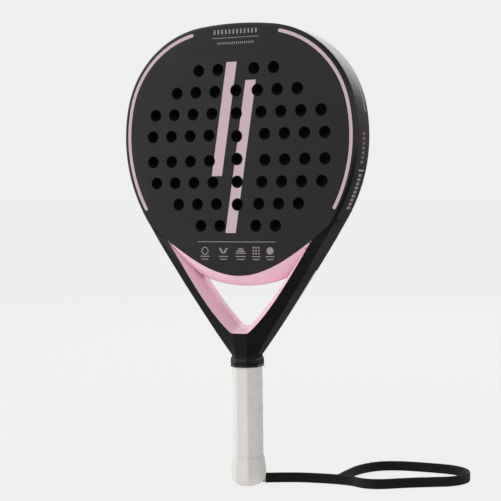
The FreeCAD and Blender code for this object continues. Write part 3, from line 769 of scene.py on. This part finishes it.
# Thin grey screen ink, half covering the black below it.
grey_ink, place, shader = new_material("grey_screen_ink")
grit = add(grey_ink, "ShaderNodeTexNoise", {"Vector": place, "Scale": 1.6, "Detail": 4.0,
           "Roughness": 0.7})
tint = add(grey_ink, "ShaderNodeMix", {"Factor": grit.outputs["Fac"], 6: colour("8b8284"),
           7: colour("a59b9e")}, data_type="RGBA")
drive(grey_ink, shader, "Base Color", tint.outputs[2])
shader.inputs["Roughness"].default_value = 0.55


def drill_cutter():
    """Pins through all the holes, to cut the ink away over them."""
    bm = bmesh.new()
    for x, z in hole_places():
        turned = Matrix.Translation((x, 0, z)) @ Matrix.Rotation(math.pi / 2, 4, "X")
        bmesh.ops.create_cone(bm, cap_ends=True, segments=48, radius1=HOLE_RADIUS + 0.25 * MM,
                              radius2=HOLE_RADIUS + 0.25 * MM, depth=60 * MM, matrix=turned)
    return placed("drills", bm)


def cut_away(made, cutter):
    """Takes the cutter's shape out of a piece and leaves a plain mesh."""
    boolean = made.modifiers.new("cut", "BOOLEAN")
    boolean.object = cutter
    boolean.operation = "DIFFERENCE"
    boolean.solver = "EXACT"
    cut_mesh = finished_mesh(made)
    made.modifiers.clear()
    made.data = cut_mesh


def print_marks(name, shapes, front, material, cutter=None):
    """Flat marks on one face; a mark over a hole is cut away there."""
    sign = -1 if front else 1
    near = sign * (half_thick + INK)
    far = sign * (half_thick - UNDER_INK)
    bm = bmesh.new()
    for outline in shapes:
        plate(bm, [(-sign * x, z) for x, z in outline], near, far)
    made = piece(name, bm, "racket", [material])
    if cutter:
        cut_away(made, cutter)


pink_shapes = [
    edge_stripe(13.2, 118.3, 6.1 * MM, 3.3 * MM),
    edge_stripe(-13.2, -118.3, 6.1 * MM, 3.3 * MM),
    bar(-13 * MM, 362 * MM, 112 * MM, 11 * MM, 9),
    bar(4 * MM, 325 * MM, 150 * MM, 11 * MM, 9),
]
grey_shapes = [
    bar(0, 440.8 * MM, 0.5 * MM, 50 * MM, 0),
    bar(-2 * MM, 242.3 * MM, 0.6 * MM, 83 * MM, 0),
]
for x, half in ((-35.8, 5.0), (-15.8, 5.0), (2.8, 5.5), (19.3, 4.5), (34.0, 4.5)):
    grey_shapes.append(bar(x * MM, 228.0 * MM, 0.8 * MM, 2 * half * MM, 0))
    grey_shapes.append(bar(x * MM, 225.2 * MM, 0.8 * MM, 1.5 * half * MM, 0))
for step in range(4):
    grey_shapes.append(bar(2.8 * MM, (231.2 + 1.5 * step) * MM, 0.8 * MM, (11 - 2 * step) * MM, 0))
for column in range(3):
    for row in range(3):
        grey_shapes.append(disc((16.4 + 2.9 * column) * MM, (230.9 + 2.9 * row) * MM, 0.9 * MM))
for lean in (-32, 32):
    grey_shapes.append(bar((-15.8 + math.copysign(2.3, lean)) * MM, 233.6 * MM, 6.4 * MM,
                           2.0 * MM, lean))
grey_shapes.append(disc(34.0 * MM, 233.6 * MM, 3.6 * MM))
for turn in range(12):
    angle = 2 * math.pi * turn / 12
    grey_shapes.append(disc((-35.8 + 3.4 * math.cos(angle)) * MM,
                            (233.4 + 3.4 * math.sin(angle)) * MM, 0.7 * MM))
for step in range(12):
    grey_shapes.append(bar((4 * step - 22) * MM, 446.6 * MM, 4.4 * MM, 1.5 * MM, 0))
for step in range(18):
    grey_shapes.append(bar((2.2 * step - 18.7) * MM, 435.6 * MM, 2.2 * MM, 0.8 * MM, 0))
drills = drill_cutter()
for front in (True, False):
    side = "front" if front else "rear"
    print_marks(f"{side}_print_pink", pink_shapes, front, pink_ink, drills)
    print_marks(f"{side}_print_grey", grey_shapes, front, grey_ink)
bpy.data.objects.remove(drills)


def rim_band(bm, first, last, low, high):
    """A thin band of ink round the rim between two headings and two depths."""
    steps = max(2, round(abs(last - first) / 1.5))
    rings = []
    for i in range(steps + 1):
        heading = first + (last - first) * i / steps
        outside = outline_point(heading, -INK)
        inside = outline_point(heading, UNDER_INK)
        rings.append([bm.verts.new((p.x, y, p.y)) for p, y in
                      ((outside, low), (outside, high), (inside, high), (inside, low))])
    for a, b in zip(rings, rings[1:]):
        for j in range(4):
            k = (j + 1) % 4
            bm.faces.new((a[j], a[k], b[k], b[j]))
    bm.faces.new(rings[0])
    bm.faces.new(reversed(rings[-1]))


bm = bmesh.new()
for side in (1, -1):
    rim_band(bm, side * 30, side * 82, 7.5 * MM, 9.2 * MM)
    rim_band(bm, side * 103.0, side * 103.4, -5 * MM, 9 * MM)
piece("rim_print_pink", bm, "racket", [pink_ink])
bm = bmesh.new()
for side in (1, -1):
    for dash in range(9):
        start = side * (104.5 + 1.55 * dash)
        rim_band(bm, start, start + side * 1.0, -2 * MM, 6 * MM)
    for dash in range(7):
        start = side * (89.5 + 1.7 * dash)
        rim_band(bm, start, start + side * 1.0, -3 * MM, -1 * MM)
        rim_band(bm, start, start + side * 1.0, 1 * MM, 3 * MM)
piece("rim_print_grey", bm, "racket", [grey_ink])


# ---------------------------------------------------------------- handle sections

# The handle is an octagon whose corners are cut at 45 degrees, a little deeper than wide.
grip_low, grip_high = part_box("grip_wrap")
CORNER_CUT = 7.1 * MM


def octagon(growth, height, rounding, corner_steps=4, facet_steps=4):
    """A level ring round the handle, larger all round by growth, with rounded corners."""
    wide = grip_high.x + growth
    deep = grip_high.y + growth
    corner = CORNER_CUT + (2 - math.sqrt(2)) * growth
    quarter = [Vector((wide, corner - deep)), Vector((wide, deep - corner)),
               Vector((wide - corner, deep)), Vector((corner - wide, deep))]
    corners = quarter + [-point for point in quarter]
    reach = rounding * math.tan(math.radians(22.5))
    ring = []
    for i, here in enumerate(corners):
        before = corners[i - 1]
        after = corners[(i + 1) % 8]
        start = here + (before - here).normalized() * reach
        end = here + (after - here).normalized() * reach
        for step in range(corner_steps + 1):
            t = step / corner_steps
            ring.append(start * (1 - t) ** 2 + here * 2 * t * (1 - t) + end * t * t)
        next_start = after + (here - after).normalized() * reach
        for step in range(1, facet_steps):
            ring.append(end.lerp(next_start, step / facet_steps))
    return [Vector((point.x, point.y, height)) for point in ring]


def loft(bm, rings, closed):
    """Quads between rings of equal length; the last ring joins the first, or ends are capped."""
    made = [[bm.verts.new(point) for point in ring] for ring in rings]
    pairs = list(zip(made, made[1:]))
    if closed:
        pairs.append((made[-1], made[0]))
    for low, high in pairs:
        for j in range(len(low)):
            k = (j + 1) % len(low)
            bm.faces.new((low[j], low[k], high[k], high[j]))
    if not closed:
        bm.faces.new(reversed(made[0]))
        bm.faces.new(made[-1])


# ---------------------------------------------------------------- grip

# One strip of pale grey polyurethane, wound up the handle so that each turn laps over the last.
WRAP_PITCH = 24.0 * MM
LAP_SHARE = 0.16
LAP_RISE = 0.3 * MM
grip_thick = 1.8 * MM

# Tacky polyurethane with a fine pebbled grain and a faint blotchy tone.
wrap, place, shader = new_material("pebbled_polyurethane_wrap")
grain = add(wrap, "ShaderNodeTexVoronoi", {"Vector": place, "Scale": 1.1}, feature="SMOOTH_F1")
fine = add(wrap, "ShaderNodeTexNoise", {"Vector": place, "Scale": 0.12, "Detail": 4.0})
tint = add(wrap, "ShaderNodeMix", {"Factor": fine.outputs["Fac"], 6: colour("dcd7d3"),
           7: colour("ebe7e3")}, data_type="RGBA")
bump = add(wrap, "ShaderNodeBump", {"Height": grain.outputs["Distance"], "Strength": 0.2,
           "Distance": 0.12 * MM})
drive(wrap, shader, "Base Color", tint.outputs[2])
drive(wrap, shader, "Normal", bump.outputs[0])
shader.inputs["Roughness"].default_value = 0.62
shader.inputs["Specular IOR Level"].default_value = 0.35


def lap_rise(point):
    """How far the wound strip stands out here: up at a lap's edge, then down over the lap."""
    turn = math.atan2(point.y, point.x) / (2 * math.pi)
    phase = (point.z / WRAP_PITCH - turn) % 1.0
    if phase < LAP_SHARE:
        return LAP_RISE
    fall = (phase - LAP_SHARE) / LAP_SHARE
    return LAP_RISE * max(0.0, 1 - fall) ** 2


rings = []
levels = 200
for i in range(levels + 1):
    height = grip_low.z + (grip_high.z - grip_low.z) * i / levels
    ring = octagon(-LAP_RISE, height, 3.2 * MM, 4, 6)
    rings.append([p + Vector((p.x, p.y, 0)).normalized() * lap_rise(p) for p in ring])
inner = [octagon(-grip_thick, h, 0.6 * MM, 4, 6) for h in (grip_high.z, grip_low.z)]
bm = bmesh.new()
loft(bm, rings + inner, closed=True)
grip = piece("grip_wrap_leatherette", bm, "racket", [wrap])
smooth(grip, 50)
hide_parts("grip_wrap")


# ---------------------------------------------------------------- butt cap

# A moulded cup pressed over the handle's end, flared so that the hand stops on it. A slot at
# the rear right lets the strap out; the skirt goes up under the grip.
cap_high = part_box("butt_cap")[1]
cap_top = grip_low.z
CAP_PROFILE = [(0.0, -8.0), (0.5, -5.2), (1.6, -2.6), (3.2, -0.8), (5.2, 0.6), (7.5, 1.4),
               (10.5, 1.95), (14.0, 2.1), (18.5, 1.85), (23.0, 1.3), (27.0, 0.75), (28.4, 0.5),
               (29.0, 0.1)]
SKIRT = -0.85
SOCKET = -1.75
SOCKET_FLOOR = 13.0

# White injection-moulded plastic with a faint spark-eroded texture.
cap_plastic, place, shader = new_material("spark_textured_white_plastic")
spark = add(cap_plastic, "ShaderNodeTexNoise", {"Vector": place, "Scale": 1.5, "Detail": 3.0})
scuff = add(cap_plastic, "ShaderNodeTexNoise", {"Vector": place, "Scale": 0.1, "Detail": 5.0})
tint = add(cap_plastic, "ShaderNodeMix", {"Factor": scuff.outputs["Fac"], 6: colour("ded9d5"),
           7: colour("ece8e4")}, data_type="RGBA")
bump = add(cap_plastic, "ShaderNodeBump", {"Height": spark.outputs["Fac"], "Strength": 0.12,
           "Distance": 0.1 * MM})
drive(cap_plastic, shader, "Base Color", tint.outputs[2])
drive(cap_plastic, shader, "Normal", bump.outputs[0])
shader.inputs["Roughness"].default_value = 0.5

rings = [octagon(growth * MM, height * MM, 3.4 * MM) for height, growth in CAP_PROFILE]
rings += [octagon(SKIRT * MM, cap_top, 1.0 * MM), octagon(SKIRT * MM, cap_high.z, 1.0 * MM),
          octagon(SOCKET * MM, cap_high.z, 1.0 * MM),
          octagon(SOCKET * MM, SOCKET_FLOOR * MM, 1.0 * MM)]
bm = bmesh.new()
loft(bm, rings, closed=False)
cap = piece("butt_cap_moulding", bm, "racket", [cap_plastic])
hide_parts("butt_cap")

along_slot = Vector((1, 1, 0)).normalized()
slot_half = 1.7 * MM
slot_length = 24 * MM
slot_floor = 1.5 * MM
slot_top = 10.6 * MM
bm = bmesh.new()
side = Vector((-along_slot.y, along_slot.x, 0)) * slot_half
pin_place = Vector((0, 1.5 * MM, 0))
outer_end = pin_place + along_slot * slot_length
slot_plan = [pin_place - side, outer_end - side, outer_end + side, pin_place + side]
low = [bm.verts.new(p + Vector((0, 0, slot_floor))) for p in slot_plan]
high = [bm.verts.new(p + Vector((0, 0, slot_top))) for p in slot_plan]
bm.faces.new(reversed(low))
bm.faces.new(high)
for i in range(4):
    j = (i + 1) % 4
    bm.faces.new((low[i], low[j], high[j], high[i]))
cutter = placed("slot_cutter", bm)
cut_away(cap, cutter)
bpy.data.objects.remove(cutter)
smooth(cap, 40)


# ---------------------------------------------------------------- collar and tape

# A stretchy black silicone ring over the top of the grip, with a rounded band, a groove and a
# lower lip. It can be pushed down the grip.
collar_low, collar_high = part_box("collar")

# Moulded black silicone, glossy, with a faint bloom.
silicone, place, shader = new_material("moulded_black_silicone")
bloom = add(silicone, "ShaderNodeTexNoise", {"Vector": place, "Scale": 0.25, "Detail": 4.0})
gloss = add(silicone, "ShaderNodeMapRange", {"Value": bloom.outputs["Fac"], "From Min": 0.3,
            "From Max": 0.7, "To Min": 0.22, "To Max": 0.36})
tint = add(silicone, "ShaderNodeMix", {"Factor": bloom.outputs["Fac"], 6: colour("0c0b0b"),
           7: colour("151313")}, data_type="RGBA")
drive(silicone, shader, "Base Color", tint.outputs[2])
drive(silicone, shader, "Roughness", gloss.outputs[0])

BORE = 0.4
COLLAR_PROFILE = [(0.0, 1.2), (0.2, 1.48), (0.5, 1.58), (0.95, 1.58), (1.3, 1.5), (1.5, 1.3),
                  (1.7, 1.05), (1.95, 0.98), (2.2, 1.05), (2.4, 1.25), (2.9, 1.38), (4.2, 1.42),
                  (6.0, 1.4), (7.3, 1.34), (7.9, 1.2), (8.05, 0.98), (8.2, 0.96), (8.35, 1.1),
                  (8.8, 1.15), (9.05, 1.05), (9.2, 0.8)]
rings = [octagon(growth * MM, collar_low.z + rise * MM, 2.6 * MM)
         for rise, growth in COLLAR_PROFILE]
rings += [octagon(BORE * MM, height, 1.4 * MM) for height in (collar_high.z, collar_low.z)]
bm = bmesh.new()
loft(bm, rings, closed=True)
collar = piece("collar_silicone", bm, "collar_ring", [silicone])
smooth(collar, 60)
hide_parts("collar")


# ---------------------------------------------------------------- parts out of sight

# Pieces inside the handle, cap and frame keep their CAD shapes, each in its own material.
def inner_material(name, low_code, high_code, scale, roughness, metallic=0.0):
    """A plain finish with grain at this scale, for a part that is seldom seen."""
    material, place, shader = new_material(name)
    grain = add(material, "ShaderNodeTexNoise", {"Vector": place, "Scale": scale, "Detail": 4.0})
    tint = add(material, "ShaderNodeMix", {"Factor": grain.outputs["Fac"],
               6: colour(low_code), 7: colour(high_code)}, data_type="RGBA")
    bump = add(material, "ShaderNodeBump", {"Height": grain.outputs["Fac"], "Strength": 0.2,
               "Distance": 0.1 * MM})
    drive(material, shader, "Base Color", tint.outputs[2])
    drive(material, shader, "Normal", bump.outputs[0])
    shader.inputs["Roughness"].default_value = roughness
    shader.inputs["Metallic"].default_value = metallic
    return material


expanding_foam = inner_material("expanded_white_foam", "cfc9b8", "e4dfd0", 2.0, 0.9)
pallet_foam = inner_material("rigid_cream_foam", "b9a98a", "cdbf9f", 1.5, 0.8)
vinyl = inner_material("stretched_black_vinyl", "111010", "1b1a1a", 0.8, 0.4)
nylon = inner_material("turned_black_nylon", "0f0e0e", "1c1a1a", 1.0, 0.5)
steel = inner_material("drawn_zinc_steel", "8f9194", "b2b4b6", 3.0, 0.35, 1.0)
inside = {
    "frame_foam": expanding_foam, "bridge_foam": expanding_foam,
    "handle_pallet_front": pallet_foam, "handle_pallet_rear": pallet_foam,
    "finishing_tape": vinyl, "strap_pin": nylon, "strap_root": nylon, "butt_staples": steel,
}
for node, material in inside.items():
    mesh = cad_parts[node].data
    mesh.materials.clear()
    mesh.materials.append(material)


# ---------------------------------------------------------------- floor and light

# A pale floor that runs to the horizon, soft boxes left, right and behind for the rim, and a
# room that is brighter above and to the left.
BACKGROUND = colour("efefef")
FLOOR_RADIUS = 80.0
floor_bm = bmesh.new()
bmesh.ops.create_circle(floor_bm, cap_ends=True, segments=96, radius=FLOOR_RADIUS)
floor = placed("floor", floor_bm)
floor.visible_glossy = False
floor_paint, place, shader = new_material("pale_studio_paint")
shader.inputs["Base Color"].default_value = colour("404040")
shader.inputs["Roughness"].default_value = 1.0
shader.inputs["Specular IOR Level"].default_value = 0.0
shader.inputs["Emission Color"].default_value = BACKGROUND
shader.inputs["Emission Strength"].default_value = 0.96
floor.data.materials.append(floor_paint)

world = bpy.data.worlds.new("studio")
world.use_nodes = True
world.node_tree.nodes.clear()
rays = add(world, "ShaderNodeLightPath")
direction = add(world, "ShaderNodeTexCoord").outputs["Generated"]
parts = add(world, "ShaderNodeSeparateXYZ", {"Vector": direction})
height_light = add(world, "ShaderNodeMapRange", {"Value": parts.outputs["Z"], "From Min": -0.35,
                   "From Max": 0.5, "To Min": 0.16, "To Max": 0.6})
side_light = add(world, "ShaderNodeMapRange", {"Value": parts.outputs["X"], "From Min": -0.8,
                 "From Max": 0.8, "To Min": 1.3, "To Max": 0.45})
strength = add(world, "ShaderNodeMath", {0: height_light.outputs[0], 1: side_light.outputs[0]},
               operation="MULTIPLY")
room = add(world, "ShaderNodeBackground", {"Color": (1, 1, 1, 1), "Strength": strength.outputs[0]})
seen = add(world, "ShaderNodeBackground", {"Color": BACKGROUND})
mixed = add(world, "ShaderNodeMixShader", {0: rays.outputs["Is Camera Ray"], 1: room.outputs[0],
            2: seen.outputs[0]})
add(world, "ShaderNodeOutputWorld", {"Surface": mixed.outputs[0]})
bpy.context.scene.world = world
bpy.context.scene.view_settings.view_transform = "Standard"


def softbox(name, place, target, width, height, power):
    """A large area light aimed at a point, out of the camera's sight."""
    data = bpy.data.lights.new(name, "AREA")
    data.shape = "RECTANGLE"
    data.size = width
    data.size_y = height
    data.energy = power
    light = bpy.data.objects.new(name, data)
    bpy.context.scene.collection.objects.link(light)
    light.location = place
    light.rotation_mode = "QUATERNION"
    light.rotation_quaternion = (Vector(target) - Vector(place)).to_track_quat("-Z", "Y")
    light.visible_camera = False


middle = (0.0, 0.0, 0.25)
softbox("left_softbox", (-1.7, -1.2, 0.8), middle, 1.2, 1.6, 22)
softbox("right_softbox", (1.9, -0.2, 0.7), middle, 0.8, 1.4, 4.5)
softbox("rear_softbox", (-0.2, 1.9, 1.25), middle, 1.6, 1.0, 11)
